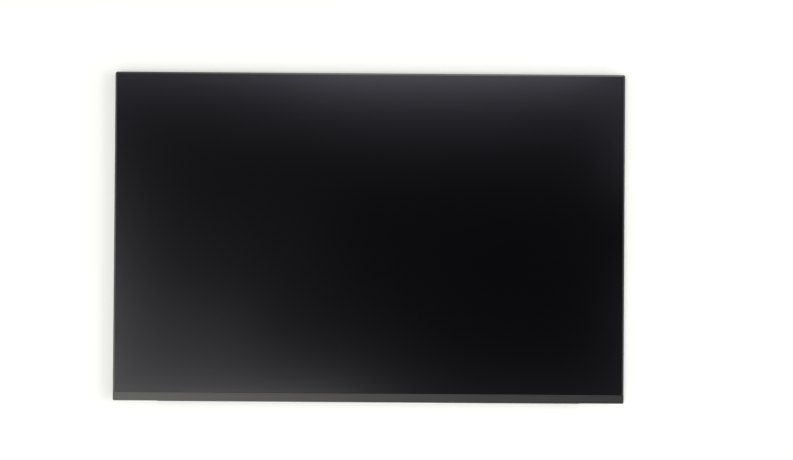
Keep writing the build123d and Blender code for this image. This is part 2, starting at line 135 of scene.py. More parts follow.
class Paint:
    """The node tree of a material or a world, with one method that adds any node."""

    def __init__(self, owner):
        self.owner = owner
        owner.use_nodes = True
        self.tree = owner.node_tree
        self.tree.nodes.clear()

    def node(self, kind, settings=None, sockets=None, output=0):
        made = self.tree.nodes.new(kind)
        for name, value in (settings or {}).items():
            setattr(made, name, value)
        for key, value in (sockets or {}).items():
            if isinstance(value, Value):
                self.tree.links.new(value.socket, made.inputs[key])
            else:
                made.inputs[key].default_value = value
        return Value(self, made.outputs[output]) if made.outputs else None

    def place(self, stretch=(1, 1, 1)):
        """Object coordinates in millimetres, drawn out along the axes by these factors."""
        at = self.node("ShaderNodeTexCoord", output="Object")
        scale = [1 / mm / factor for factor in stretch]
        return self.node("ShaderNodeMapping", {}, {"Vector": at, "Scale": scale})

    def axis(self, name, vector):
        """One coordinate of a vector."""
        return self.node("ShaderNodeSeparateXYZ", {}, {0: vector}, name)

    def facing(self, name):
        """How far the surface faces along an axis, from -1 to 1."""
        return self.axis(name, self.node("ShaderNodeTexCoord", output="Normal"))

    def rim(self):
        """1 on the upright faces of a flat piece and 0 on its front and rear."""
        return 1 - self.step(abs(self.facing("Z")), *facing_limits)

    def noise(self, at, size, detail=2.0):
        """Soft random variation from 0 to 1, with features about this many millimetres across."""
        return self.node("ShaderNodeTexNoise", {}, {"Vector": at, "Scale": 1 / size, "Detail": detail})

    def cells(self, at, size, feature="F1", randomness=1.0):
        """Distance to the nearest of points scattered about this many millimetres apart, in cells."""
        sockets = {"Vector": at, "Scale": 1 / size, "Randomness": randomness}
        return self.node("ShaderNodeTexVoronoi", {"feature": feature}, sockets)

    def ridges(self, value, pitch):
        """A row of even ridges, from 0 in the valleys to 1 at the tops."""
        return 1 - 2 * abs((value / pitch) % 1 - 0.5)

    def step(self, value, low, high):
        """0 up to low, 1 from high on, and smooth between."""
        settings = {"interpolation_type": "SMOOTHSTEP"}
        return self.node("ShaderNodeMapRange", settings, {0: value, "From Min": low, "From Max": high})

    def within(self, value, low, high, soft):
        """1 between two limits and 0 outside, with soft edges."""
        return self.step(value, low - soft, low + soft) - self.step(value, high - soft, high + soft)

    def picture(self, at):
        """1 over the picture and 0 on the borders round it."""
        soft = 0.15
        across = (cad_low.x / mm + side_border, cad_high.x / mm - side_border)
        along = (cad_low.y / mm + bottom_border, cad_high.y / mm - top_border)
        inside = self.within(self.axis("X", at), *across, soft)
        return inside * self.within(self.axis("Y", at), *along, soft)

    def blend(self, share, first, second):
        """The first colour where share is 0 and the second where it is 1."""
        colors = [color if isinstance(color, Value) else (*color, 1) for color in (first, second)]
        return self.node("ShaderNodeMix", {"data_type": "RGBA"}, {0: share, 6: colors[0], 7: colors[1]}, 2)

    def relief(self, height, depth):
        """A normal for relief of this depth in millimetres."""
        return self.node("ShaderNodeBump", {}, {"Strength": 1.0, "Distance": depth * mm, "Height": height})

    def close(self, shader):
        """Ends the tree with this shader."""
        world = isinstance(self.owner, bpy.types.World)
        self.node("ShaderNodeOutputWorld" if world else "ShaderNodeOutputMaterial", {}, {"Surface": shader})
        return self.owner

    def surface(self, sockets):
        """Ends the tree with a surface shader of these values."""
        return self.close(self.node("ShaderNodeBsdfPrincipled", {}, sockets))


def new_paint(name):
    """The node tree of a new material."""
    return Paint(bpy.data.materials.new(name))


record_slots = {row["node"]: row["material_slot"] for row in frame["record"]["subparts"]}


def extent(node):
    """The lowest and highest corner of a node, in millimetres."""
    low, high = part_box(node)
    return Vector(low) / mm, Vector(high) / mm


ledge_top = extent("color_filter_glass")[0].y


def box_round(points):
    """The lowest and highest corner of the box round these points."""
    columns = list(zip(*points))
    return Vector(map(min, columns)), Vector(map(max, columns))


def solid_boxes(node):
    """The lowest and highest corner of each solid of a node, in millimetres, in order along X and Y."""
    copy = bmesh.new()
    copy.from_mesh(frame["nodes"][node].data)
    bmesh.ops.remove_doubles(copy, verts=copy.verts, dist=same_place * mm)
    waiting = set(copy.verts)
    boxes = []
    while waiting:
        solid = [waiting.pop()]
        for vert in solid:
            near = {edge.other_vert(vert) for edge in vert.link_edges} & waiting
            waiting -= near
            solid.extend(near)
        boxes.append(box_round(vert.co / mm for vert in solid))
    copy.free()
    return sorted(boxes, key=lambda box: (round(box[0].x, 2), round(box[0].y, 2)))


def grained(name, dark, light, grain, depth, rough, metallic=0.0):
    """A finish mottled between two tones, with a grain of this size and depth in millimetres."""
    paint = new_paint(name)
    at = paint.place()
    fine = paint.noise(at, grain, 3)
    wide = paint.noise(at, cloud_grains * grain, 2)
    return paint.surface({
        "Base Color": paint.blend(0.55 * fine + 0.45 * wide, dark, light),
        "Roughness": rough + 0.16 * (fine - 0.5) + 0.08 * (wide - 0.5),
        "Metallic": metallic,
        "Normal": paint.relief(fine, depth),
    })


def rolled(name, dark, light, stretch, rough, depth):
    """Metal with fine drawn lines, as long and as wide as the stretch says, and faint clouds."""
    paint = new_paint(name)
    lines = 0.5 * paint.noise(paint.place(stretch), 1, 3)
    lines = lines + 0.5 * paint.noise(paint.place([length / 6 for length in stretch]), 1, 2)
    cloud = paint.noise(paint.place(), 38, 3)
    return paint.surface({
        "Base Color": paint.blend(0.7 * lines + 0.3 * cloud, dark, light),
        "Metallic": 1.0,
        "Roughness": rough + 0.20 * (lines - 0.5) + 0.06 * (cloud - 0.5),
        "Normal": paint.relief(lines, depth),
    })


def matt_face():
    """The anti-glare film over the picture: nearly black, with a fine matt grain and a violet sheen."""
    paint = new_paint("matt_face_film")
    at = paint.place()
    grain = paint.noise(at, 0.07, 1)
    haze = paint.noise(at, 70, 2)
    wipe = paint.noise(paint.place((60, 5, 1)), 1, 2)
    return paint.surface({
        "Base Color": paint.blend(paint.picture(at), (0.0010, 0.0010, 0.0012), (0.0012, 0.0012, 0.0018)),
        "Roughness": 0.16 + 0.012 * (haze - 0.5) + 0.008 * (wipe - 0.5),
        "Normal": paint.relief(grain, 0.0004),
        "IOR": 1.52,
        "Specular Tint": (0.895, 0.875, 1.0, 1),
    })


def black_tape(name, dark, light, painted_sheen):
    """Thin film tape with a matt pressed grain and faint ripples, its colour painted this much paler
    towards its right end as a painted sheen.
    """
    paint = new_paint(name)
    at = paint.place()
    grain = paint.noise(at, 0.16, 2)
    ripple = paint.noise(paint.place((9, 3, 3)), 1, 2)
    cloud = paint.noise(at, 14, 3)
    tone = 0.5 * grain + 0.5 * cloud
    color = paint.blend(tone, dark, light)
    # Painted sheen: the colour grows paler towards the right end, standing in for the lamps' reflection
    if painted_sheen:
        share = paint.step(paint.axis("X", at), sheen_start, sheen_end)
        color = paint.blend(share, color, [level + painted_sheen for level in dark])
    return paint.surface({
        "Base Color": color,
        "Roughness": 0.37 + 0.08 * (cloud - 0.5) + 0.06 * (grain - 0.5),
        "Normal": paint.relief(0.25 * grain + ripple, 0.010),
        "IOR": 1.5,
    })


def filter_glass():
    """The front glass: red, green and blue stripes behind a black mask, and a clear greenish rim."""
    paint = new_paint("color_filter_glass")
    at = paint.place()
    stripe = (paint.axis("X", at) / dot_pitch) % 1
    row = (paint.axis("Y", at) / dot_pitch) % 1
    color = paint.blend(paint.step(stripe, 0.32, 0.34), (0.060, 0.012, 0.012), (0.014, 0.050, 0.018))
    color = paint.blend(paint.step(stripe, 0.65, 0.67), color, (0.012, 0.018, 0.070))
    clear = paint.within((stripes_per_dot * stripe) % 1, 0.14, 0.86, 0.03)
    clear = clear * paint.within(row, 0.10, 0.90, 0.03)
    color = paint.blend(clear * paint.picture(at), (0.004, 0.004, 0.005), color)
    color = paint.blend(paint.rim(), color, cut_glass)
    haze = paint.noise(at, 25, 2)
    return paint.surface({"Base Color": color, "Roughness": 0.05 + 0.04 * haze, "IOR": 1.52})


def transistor_glass():
    """The rear glass: a fine grid over the picture, bronze leads on the ledge below, and a greenish rim."""
    paint = new_paint("array_glass")
    at = paint.place()
    soft = 0.05
    x, y = paint.axis("X", at), paint.axis("Y", at)
    grid = paint.within((stripes_per_dot * x / dot_pitch) % 1, 0.2, 0.8, soft)
    grid = grid * paint.within((y / dot_pitch) % 1, 0.1, 0.9, soft)
    color = paint.blend(grid, (0.060, 0.055, 0.045), (0.020, 0.021, 0.022))
    leads = paint.ridges(x, ledge_lead_pitch)
    ledge = 1 - paint.step(y, ledge_top - soft, ledge_top + soft)
    color = paint.blend(ledge, color, paint.blend(leads, (0.030, 0.026, 0.018), (0.20, 0.14, 0.075)))
    color = paint.blend(paint.rim(), color, cut_glass)
    haze = paint.noise(at, 25, 2)
    return paint.surface({"Base Color": color, "Roughness": 0.06 + 0.05 * haze, "IOR": 1.52})


def ridged_sheet(name, axis):
    """A clear prism film, with fine ridges side by side along this axis and a soft sheen."""
    paint = new_paint(name)
    at = paint.place()
    ridges = paint.ridges(paint.axis(axis, at), prism_pitch)
    cloud = paint.noise(at, 40, 2)
    return paint.surface({
        "Base Color": paint.blend(0.5 * cloud + 0.3 * ridges, (0.72, 0.75, 0.78), (0.88, 0.90, 0.92)),
        "Roughness": 0.22 + 0.10 * cloud,
        "Normal": paint.relief(ridges, 0.012),
        "IOR": 1.56,
    })


def dotted_guide():
    """The clear light guide: printed dots that grow with their distance from the lamps."""
    paint = new_paint("light_guide")
    at = paint.place()
    low, high = extent("light_guide_plate")
    share = (paint.axis("Y", at) - low.y) / (high.y - low.y)
    dots = paint.cells(at, guide_dot_pitch, randomness=0.35)
    printed = 1 - paint.step(dots - (0.16 + 0.22 * share), -0.02, 0.02)
    cloud = paint.noise(at, 60, 2)
    clear = paint.blend(cloud, (0.78, 0.83, 0.86), (0.84, 0.88, 0.90))
    return paint.surface({
        "Base Color": paint.blend(printed, clear, (0.95, 0.95, 0.94)),
        "Roughness": 0.06 + 0.45 * printed + 0.03 * cloud,
        "Normal": paint.relief(printed, 0.006),
        "IOR": 1.49,
    })


def lamp_strip():
    """The lamps' white flexible strip, where copper leads show faintly through the cover film."""
    paint = new_paint("light_bar_flex")
    at = paint.place()
    leads = paint.within(paint.ridges(paint.axis("Y", at), strip_lead_pitch), 0.0, 0.35, 0.06)
    cloud = paint.noise(at, 6, 3)
    color = paint.blend(cloud, (0.78, 0.77, 0.70), (0.88, 0.87, 0.82))
    return paint.surface({
        "Base Color": paint.blend(0.25 * leads, color, (0.70, 0.46, 0.28)),
        "Roughness": 0.32 + 0.12 * (cloud - 0.5),
        "Normal": paint.relief(leads + 0.3 * cloud, 0.010),
    })


def lamp_package():
    """White lamp packages, each with a yellow window on the side that faces the light guide."""
    paint = new_paint("lamp_package")
    at = paint.place()
    boxes = solid_boxes("light_bar_lamps")
    (first, end), (second, _) = boxes[0], boxes[1]
    along = (paint.axis("X", at) - first.x) % (second.x - first.x)
    window = paint.within(along, window_rim, end.x - first.x - window_rim, 0.03)
    window = window * paint.within(paint.axis("Z", at), first.z + window_edge, end.z - window_edge, 0.02)
    window = window * paint.step(paint.facing("Y"), *facing_limits)
    grain = paint.noise(at, 0.08, 2)
    white = paint.blend(grain, (0.84, 0.84, 0.82), (0.92, 0.92, 0.90))
    yellow = paint.blend(grain, (0.80, 0.62, 0.10), (0.92, 0.76, 0.18))
    return paint.surface({
        "Base Color": paint.blend(window, white, yellow),
        "Roughness": 0.42 - 0.18 * window,
        "Normal": paint.relief(grain - window, 0.006),
    })


def green_board():
    """Green solder mask with the glass weave just showing through, and bare laminate at the cut edges."""
    paint = new_paint("circuit_board")
    at = paint.place()
    weave = paint.ridges(paint.axis("X", at), weave_pitch) * paint.ridges(paint.axis("Y", at), weave_pitch)
    cloud = paint.noise(at, 9, 3)
    mask = paint.blend(0.75 * cloud + 0.25 * weave, (0.010, 0.085, 0.034), (0.022, 0.150, 0.062))
    layers = paint.noise(paint.place((3, 3, 0.1)), 1, 2)
    laminate = paint.blend(layers, (0.30, 0.26, 0.13), (0.46, 0.41, 0.24))
    edge = paint.rim()
    return paint.surface({
        "Base Color": paint.blend(edge, mask, laminate),
        "Roughness": 0.24 + 0.10 * (cloud - 0.5) + 0.35 * edge,
        "Normal": paint.relief(weave + 0.5 * cloud, 0.004),
        "IOR": 1.52,
    })


def amber_film():
    """Amber flexible film: copper leads side by side under a glossy cover."""
    paint = new_paint("amber_flex")
    at = paint.place()
    leads = paint.within(paint.ridges(paint.axis("X", at), flex_lead_pitch), 0.0, 0.55, 0.08)
    cloud = paint.noise(at, 4, 3)
    film = paint.blend(cloud, (0.40, 0.19, 0.035), (0.52, 0.27, 0.060))
    copper = paint.blend(cloud, (0.52, 0.24, 0.085), (0.66, 0.34, 0.135))
    return paint.surface({
        "Base Color": paint.blend(leads, film, copper),
        "Roughness": 0.20 + 0.12 * cloud,
        "Normal": paint.relief(leads + 0.4 * cloud, 0.008),
        "IOR": 1.6,
    })


def bare_die():
    """Bare silicon: a dark polished back with faint saw marks and a bluish sheen."""
    paint = new_paint("bare_silicon")
    saw = paint.noise(paint.place((20, 0.05, 1)), 1, 2)
    cloud = paint.noise(paint.place(), 3, 2)
    return paint.surface({
        "Base Color": paint.blend(0.6 * saw + 0.4 * cloud, (0.075, 0.078, 0.095), (0.13, 0.135, 0.155)),
        "Roughness": 0.12 + 0.12 * saw,
        "Metallic": 0.7,
        "Normal": paint.relief(saw, 0.001),
    })


def glazed_chip():
    """A resistor's black glaze over white ceramic, which shows at its sides."""
    paint = new_paint("resistor_ceramic")
    grain = paint.noise(paint.place(), 0.09, 3)
    glaze = paint.blend(grain, (0.016, 0.016, 0.018), (0.036, 0.035, 0.037))
    ceramic = paint.blend(grain, (0.66, 0.66, 0.63), (0.80, 0.80, 0.77))
    return paint.surface({
        "Base Color": paint.blend(paint.rim(), glaze, ceramic),
        "Roughness": 0.26 + 0.20 * grain,
        "Normal": paint.relief(grain, 0.004),
    })


def crinkled_foil():
    """Bright soft foil, crinkled where it was pressed down."""
    paint = new_paint("grounding_foil")
    at = paint.place()
    creases = paint.cells(at, crease_size, "F2") - paint.cells(at, crease_size, "F1")
    press = paint.noise(at, 0.8, 4)
    return paint.surface({
        "Base Color": paint.blend(press, (0.74, 0.75, 0.76), (0.85, 0.86, 0.87)),
        "Metallic": 1.0,
        "Roughness": 0.26 + 0.10 * press,
        "Normal": paint.relief(creases + 0.35 * press, 0.040),
    })


# Mottled finishes: the dark and the light tone, the grain's size and depth, and the roughness
mottled = {
    "polarizer_film": ((0.07, 0.07, 0.08), (0.12, 0.12, 0.13), 1.2, 0.001, 0.20),
    "foam_bonding_tape": ((0.012, 0.012, 0.012), (0.030, 0.030, 0.030), 0.10, 0.030, 0.8),
    "frame_plastic": ((0.020, 0.020, 0.021), (0.036, 0.036, 0.037), 0.14, 0.006, 0.55),
    "diffuser_sheet": ((0.76, 0.78, 0.80), (0.88, 0.89, 0.91), 0.06, 0.004, 0.55),
    "white_reflector": ((0.84, 0.84, 0.84), (0.92, 0.92, 0.92), 0.20, 0.003, 0.45),
    "covered_copper": ((0.035, 0.190, 0.080), (0.060, 0.265, 0.115), 0.25, 0.003, 0.25),
    "chip_resin": ((0.017, 0.017, 0.019), (0.034, 0.034, 0.036), 0.07, 0.005, 0.52),
    "chip_mark": ((0.050, 0.050, 0.052), (0.085, 0.085, 0.088), 0.05, 0.003, 0.40),
    "ferrite": ((0.060, 0.060, 0.064), (0.120, 0.120, 0.126), 0.11, 0.012, 0.62),
    "capacitor_ceramic": ((0.34, 0.23, 0.14), (0.48, 0.35, 0.24), 0.10, 0.004, 0.42),
    "socket_plastic": ((0.74, 0.70, 0.60), (0.84, 0.80, 0.70), 0.16, 0.004, 0.48),
    "white_print": ((0.66, 0.67, 0.64), (0.84, 0.84, 0.81), 0.12, 0.004, 0.55),
}

# Plated or soldered metals, a little uneven, in the same terms
bright_metals = {
    "contact_metal": ((0.74, 0.53, 0.20), (0.90, 0.70, 0.32), 0.12, 0.002, 0.24),
    "gold_plate": ((0.80, 0.60, 0.28), (0.92, 0.73, 0.37), 0.30, 0.0010, 0.38),
    "solder": ((0.58, 0.59, 0.60), (0.80, 0.81, 0.82), 0.16, 0.012, 0.27),
    "copper_wire": ((0.66, 0.29, 0.14), (0.84, 0.44, 0.25), 0.05, 0.006, 0.30),
}

# Rolled metals: the dark and the light tone, the lines' stretch, the roughness and the lines' depth
rolled_metals = {
    "plate_metal": ((0.60, 0.61, 0.62), (0.80, 0.81, 0.82), (40, 0.30, 1), 0.38, 0.0012),
    "socket_shell": ((0.58, 0.58, 0.58), (0.78, 0.78, 0.78), (6, 0.25, 1), 0.34, 0.0006),
}

# Tapes: the dark and the light tone, and how much paler the right end is painted, as a painted sheen
tapes = {
    "black_tape": ((0.0250, 0.0236, 0.0252), (0.0396, 0.0374, 0.0398), 0.0),
    # The top tape's right end is painted paler: a painted sheen
    "top_tape": ((0.028, 0.0285, 0.027), (0.042, 0.0425, 0.041), 0.105),
    "side_tape": ((0.042, 0.0418, 0.0395), (0.060, 0.0597, 0.0565), 0.0),
}

finishes = {
    "matt_face_film": matt_face(),
    "screen_glass": filter_glass(),
    "array_glass": transistor_glass(),
    "upper_prism_sheet": ridged_sheet("upper_prism_sheet", "Y"),
    "lower_prism_sheet": ridged_sheet("lower_prism_sheet", "X"),
    "light_guide": dotted_guide(),
    "light_bar_flex": lamp_strip(),
    "lamp_package": lamp_package(),
    "circuit_board": green_board(),
    "amber_flex": amber_film(),
    "bare_silicon": bare_die(),
    "resistor_ceramic": glazed_chip(),
    "grounding_foil": crinkled_foil(),
}
for name, values in mottled.items():
    finishes[name] = grained(name, *values)
for name, values in bright_metals.items():
    finishes[name] = grained(name, *values, metallic=1.0)
for name, values in rolled_metals.items():
    finishes[name] = rolled(name, *values)
for name, values in tapes.items():
    finishes[name] = black_tape(name, *values)

# Nodes with a finish other than their record's material slot
own_finish = {
    "top_edge_tape": "top_tape",
    "left_edge_tape": "side_tape",
    "right_edge_tape": "side_tape",
    "array_glass": "array_glass",
    "diffuser_sheet": "diffuser_sheet",
    "upper_prism_sheet": "upper_prism_sheet",
    "lower_prism_sheet": "lower_prism_sheet",
}
for name, node in frame["nodes"].items():
    node.data.materials.clear()
    node.data.materials.append(finishes[own_finish.get(name, record_slots[name])])

# Places on the driver board, in millimetres
board_low, board_high = extent("driver_board")
board_rear = board_low.z  # the parts hang from this face towards the rear
rear_room = 0.01  # allowed in front of it, for rounding
controller_low, controller_high = extent("timing_controller")
controller = (controller_low + controller_high) / 2
socket_low, socket_high = extent("video_socket_shell")
chips = ("timing_controller", "power_manager", "backlight_driver", "gamma_buffer", "memory_chip")
inductors = ("inductor_1", "inductor_2")
to_right, to_left = Vector((1, 0, 0)), Vector((-1, 0, 0))
to_top, to_bottom = Vector((0, 1, 0)), Vector((0, -1, 0))

# The end of the lamp strip's tail, which lies on the board
strip_points = [vert.co / mm for vert in frame["nodes"]["light_bar_flex"].data.vertices]
tail_low, tail_high = box_round(point for point in strip_points if point.z < board_rear + rear_room)

# Solids for the small pieces on the board, in millimetres. Each is a bmesh of its own.
dome_sides = 14
dome_rows = 8
equator_room = 0.01  # share of the radius, for rounding
fillet_hollow = (0.3, 0.7)  # shares of a solder fillet's reach and height at its hollow
lead_height = 0.015
lead_width = 0.07


def new_verts(result):
    """The vertices that an operator made."""
    return [item for item in result["geom"] if isinstance(item, bmesh.types.BMVert)]


def block(low, high, edge=0.0):
    """A block between two corners, with its edges taken off."""
    solid = bmesh.new()
    bmesh.ops.create_cube(solid, size=1)
    low, high = Vector(low), Vector(high)
    bmesh.ops.scale(solid, vec=high - low, verts=solid.verts)
    bmesh.ops.translate(solid, vec=(low + high) / 2, verts=solid.verts)
    if edge:
        bmesh.ops.bevel(
            solid, geom=solid.edges[:], offset=edge, affect="EDGES", segments=1, profile=0.5, material=-1
        )
    return solid


def prism(outline, drawn):
    """A solid with this flat outline, drawn out by a vector."""
    solid = bmesh.new()
    face = solid.faces.new([solid.verts.new(point) for point in outline])
    grown = bmesh.ops.extrude_face_region(solid, geom=[face])
    bmesh.ops.translate(solid, vec=drawn, verts=new_verts(grown))
    return solid


def raised(flat, height):
    """A flat shape given its height towards the rear."""
    grown = bmesh.ops.extrude_face_region(flat, geom=flat.faces[:])
    bmesh.ops.translate(flat, vec=(0, 0, -height), verts=new_verts(grown))
    return flat


def border_only(flat, width):
    """A flat face with all but a border of this width taken away."""
    inner = flat.faces[:]
    bmesh.ops.inset_region(flat, faces=inner, thickness=width, use_boundary=True, use_even_offset=True)
    bmesh.ops.delete(flat, geom=inner, context="FACES")
    return flat


def round_face(x, y, radius, sides, level):
    """A flat round face at a level."""
    flat = bmesh.new()
    bmesh.ops.create_circle(flat, cap_ends=True, radius=radius, segments=sides)
    bmesh.ops.translate(flat, vec=(x, y, level), verts=flat.verts)
    return flat


def disc(x, y, radius, sides, height):
    """A round pad or mark on the board."""
    return raised(round_face(x, y, radius, sides, board_rear), height)


def ring(x, y, radius, width, sides, height, level=board_rear):
    """A flat ring at a level, which is the board's rear unless given."""
    return raised(border_only(round_face(x, y, radius, sides, level), width), height)


def square_face(low, high, level):
    """A flat face between two corners of the plan, at a level."""
    flat = bmesh.new()
    bmesh.ops.create_grid(flat, x_segments=1, y_segments=1, size=0.5)
    bmesh.ops.scale(flat, vec=(high.x - low.x, high.y - low.y, 1), verts=flat.verts)
    bmesh.ops.translate(flat, vec=((low.x + high.x) / 2, (low.y + high.y) / 2, level), verts=flat.verts)
    return flat


def dome(middle, size):
    """A low solder dome that hangs from a level towards the rear."""
    solid = bmesh.new()
    bmesh.ops.create_uvsphere(solid, u_segments=dome_sides, v_segments=dome_rows, radius=1)
    upper = [vert for vert in solid.verts if vert.co.z > equator_room]
    bmesh.ops.delete(solid, geom=upper, context="VERTS")
    bmesh.ops.holes_fill(solid, edges=solid.edges[:])
    bmesh.ops.scale(solid, vec=size, verts=solid.verts)
    bmesh.ops.translate(solid, vec=middle, verts=solid.verts)
    return solid


def sideways(direction):
    """The direction a quarter turn to the left, seen from the front."""
    return Vector((-direction.y, direction.x, 0))


def wedge(foot, outward, width, reach, height):
    """A solder fillet that rises from the board to the side of a part."""
    start = foot - sideways(outward) * width / 2
    rise = Vector((0, 0, -height))
    hollow = start + outward * fillet_hollow[0] * reach + fillet_hollow[1] * rise
    return prism([start, start + outward * reach, hollow, start + rise], sideways(outward) * width)


def shifts(path):
    """For each point of a path, the vector that moves the path one unit to its left."""
    runs = [(end - start).normalized() for start, end in zip(path, path[1:])]
    found = []
    for before, after in zip([runs[0], *runs], [*runs, runs[-1]]):
        mitre = sideways(before) + sideways(after)
        found.append(2 * mitre / mitre.length_squared)
    return found


def lead(points, width):
    """A flat lead through these points of the board's plan, with mitred corners."""
    path = [Vector((x, y, board_rear)) for x, y in points]
    flat = bmesh.new()
    half = width / 2
    offsets = shifts(path)
    left = flat.verts.new(path[0] + half * offsets[0])
    right = flat.verts.new(path[0] - half * offsets[0])
    edge = flat.edges.new((left, right))
    for point, offset in zip(path[1:], offsets[1:]):
        grown = bmesh.ops.extrude_edge_only(flat, edges=[edge])
        left, right = sorted(new_verts(grown), key=lambda vert: (vert.co - left.co).length)
        left.co = point + half * offset
        right.co = point - half * offset
        edge = flat.edges.get((left, right))
    return raised(flat, lead_height)


def lead_bundle(shape, route, pitch, starts, drops, drop_to=None):
    """Leads side by side, from their starts along a route to their drops, and on to a level if given."""
    path = [Vector((x, y, 0)) for x, y in route]
    offsets = shifts(path)
    for number, (start, drop) in enumerate(zip(starts, drops)):
        lane = [point + offset * pitch * number for point, offset in zip(path, offsets)]
        lane[0].x = start[0]
        lane[-1].x = drop
        points = [start, *((point.x, point.y) for point in lane)]
        if drop_to is not None:
            points.append((drop, drop_to))
        shape.add(lead(points, lead_width))


class Shape:
    """A piece in the making, in millimetres: closed solids that each have one of its finishes."""

    def __init__(self, *names):
        self.names = names
        self.whole = bmesh.new()

    def add(self, solid, finish=0, smooth=False):
        """Adds a closed solid, which is used up."""
        bmesh.ops.recalc_face_normals(solid, faces=solid.faces)
        for face in solid.faces:
            face.material_index = finish
            face.smooth = smooth
        mesh = new_mesh("solid", solid)
        self.whole.from_mesh(mesh)
        bpy.data.meshes.remove(mesh)

    def piece(self, name, replaced=None):
        """Ends the making: an object in metres that rides on the panel."""
        bmesh.ops.scale(self.whole, vec=(mm, mm, mm), verts=self.whole.verts)
        mesh = new_mesh(name, self.whole)
        for finish in self.names:
            mesh.materials.append(finishes[finish])
        made = new_object(name, mesh)
        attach(made, "root")
        if replaced:
            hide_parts(replaced)


def new_mesh(name, solid):
    """A mesh made from a solid, which is used up."""
    mesh = bpy.data.meshes.new(name)
    solid.to_mesh(mesh)
    solid.free()
    return mesh


def new_object(name, data):
    """A new object in the scene."""
    made = bpy.data.objects.new(name, data)
    bpy.context.scene.collection.objects.link(made)
    return made


def spread(count, pitch):
    """Places of equal pieces, centred on zero."""
    return [(index - (count - 1) / 2) * pitch for index in range(count)]


# Two-ended parts and their solder
cap_lip = 0.02
end_edge = 0.05
solder_reach = 0.15
solder_share = 0.55  # of a part's height
cap_share = 0.25  # of a part's length
body_edge = 0.03


def two_ended(shape, low, high):
    """A body between two tinned ends, each with a solder fillet on the board."""
    cap = cap_share * (high.x - low.x)
    lip = Vector((0, cap_lip, cap_lip))
    body_low = low + lip + Vector((cap, 0, 0))
    body_high = Vector((high.x - cap, high.y - cap_lip, board_rear))
    shape.add(block(body_low, body_high, body_edge), 0)
    solder_top = board_rear - solder_share * (high.z - low.z)
    for end, inward in ((low.x, 1), (high.x, -1)):
        profile = [
            (end - inward * solder_reach, board_rear),
            (end, solder_top),
            (end, low.z + end_edge),
            (end + inward * end_edge, low.z),
            (end + inward * cap, low.z),
            (end + inward * cap, board_rear),
        ]
        outline = [Vector((x, low.y, z)) for x, z in profile]
        shape.add(prism(outline, (0, high.y - low.y, 0)), 1)


def soldered_parts(node, finish):
    """The capacitors or the resistors, soldered to the board."""
    shape = Shape(finish, "solder")
    for low, high in solid_boxes(node):
        two_ended(shape, low, high)
    shape.piece("soldered_" + node, node)


diode_lead = Vector((0.40, 0.50, 0.12))
diode_edge = 0.09
diode_stripe = 0.28
stripe_height = 0.008


def soldered_diodes():
    """Moulded diodes with flat leads, solder at the leads' ends and a pale stripe at one end."""
    shape = Shape("chip_resin", "solder", "white_print")
    for low, high in solid_boxes("diodes"):
        body_low = Vector((low.x + diode_lead.x, low.y, low.z))
        body_high = Vector((high.x - diode_lead.x, high.y, board_rear))
        shape.add(block(body_low, body_high, diode_edge), 0)
        y = (low.y + high.y) / 2
        for end, outward in ((low.x, to_left), (high.x, to_right)):
            inner = end - outward.x * diode_lead.x
            near = (min(end, inner), y - diode_lead.y / 2, board_rear - diode_lead.z)
            far = (max(end, inner), y + diode_lead.y / 2, board_rear)
            shape.add(block(near, far, body_edge), 1)
            foot = Vector((end, y, board_rear))
            shape.add(wedge(foot, outward, diode_lead.y, solder_reach, diode_lead.z), 1)
        stripe_low = Vector((body_low.x + 2 * diode_edge, low.y + diode_edge))
        stripe_high = Vector((stripe_low.x + diode_stripe, high.y - diode_edge))
        shape.add(raised(square_face(stripe_low.to_3d(), stripe_high.to_3d(), low.z), stripe_height), 2)
    shape.piece("soldered_diodes", "diodes")


terminal_pitch = 0.50
terminal_width = 0.26
terminal_reach = 0.25
terminal_height = 0.22
corner_room = 0.50
inductor_terminal = (1.8, 0.40, 0.40)  # width, reach and height


def board_foot(low, high):
    """The middle of a part's plan, at the board's rear."""
    return Vector(((low.x + high.x) / 2, (low.y + high.y) / 2, board_rear))


def chip_terminals():
    """Soldered terminals along the four sides of each chip, and at two sides of each inductor."""
    shape = Shape("solder")
    for chip in chips:
        low, high = extent(chip)
        foot = board_foot(low, high)
        for outward in (to_right, to_left, to_top, to_bottom):
            half = abs((high - low).dot(outward)) / 2
            run = abs((high - low).dot(sideways(outward)))
            count = int((run - 2 * corner_room) / terminal_pitch) + 1
            for offset in spread(count, terminal_pitch):
                place = foot + half * outward + offset * sideways(outward)
                shape.add(wedge(place, outward, terminal_width, terminal_reach, terminal_height))
    for inductor in inductors:
        low, high = extent(inductor)
        foot = board_foot(low, high)
        for outward in (to_right, to_left):
            shape.add(wedge(foot + outward * (high.x - low.x) / 2, outward, *inductor_terminal))
    shape.piece("chip_terminals")


dimple_radius = 0.30
dimple_sides = 24
dimple_inset = 0.75
dimple_height = 0.006


def chip_dimples():
    """The small round mark in a corner of each chip's rear face, beside its first terminal."""
    shape = Shape("chip_mark")
    for chip in chips:
        low, high = extent(chip)
        flat = round_face(low.x + dimple_inset, high.y - dimple_inset, dimple_radius, dimple_sides, low.z)
        shape.add(raised(flat, dimple_height))
    shape.piece("chip_dimples")


core_radius = 1.45
groove_width = 0.18
groove_depth = 0.12
wire_room = 0.02
wire_height = 0.07
winding_sides = 40


def inductor_windings():
    """The ring of copper wire that shows at the bottom of each inductor's groove."""
    shape = Shape("copper_wire")
    for inductor in inductors:
        low, high = extent(inductor)
        middle = (low + high) / 2
        radius = core_radius + groove_width - wire_room
        width = groove_width - 2 * wire_room
        bottom = low.z + groove_depth
        shape.add(ring(middle.x, middle.y, radius, width, winding_sides, wire_height, bottom))
    shape.piece("inductor_windings")


contact_solder = (0.32, 0.24, 0.09)  # width, reach and height
foot_solder = (3.4, 0.35, 0.11)


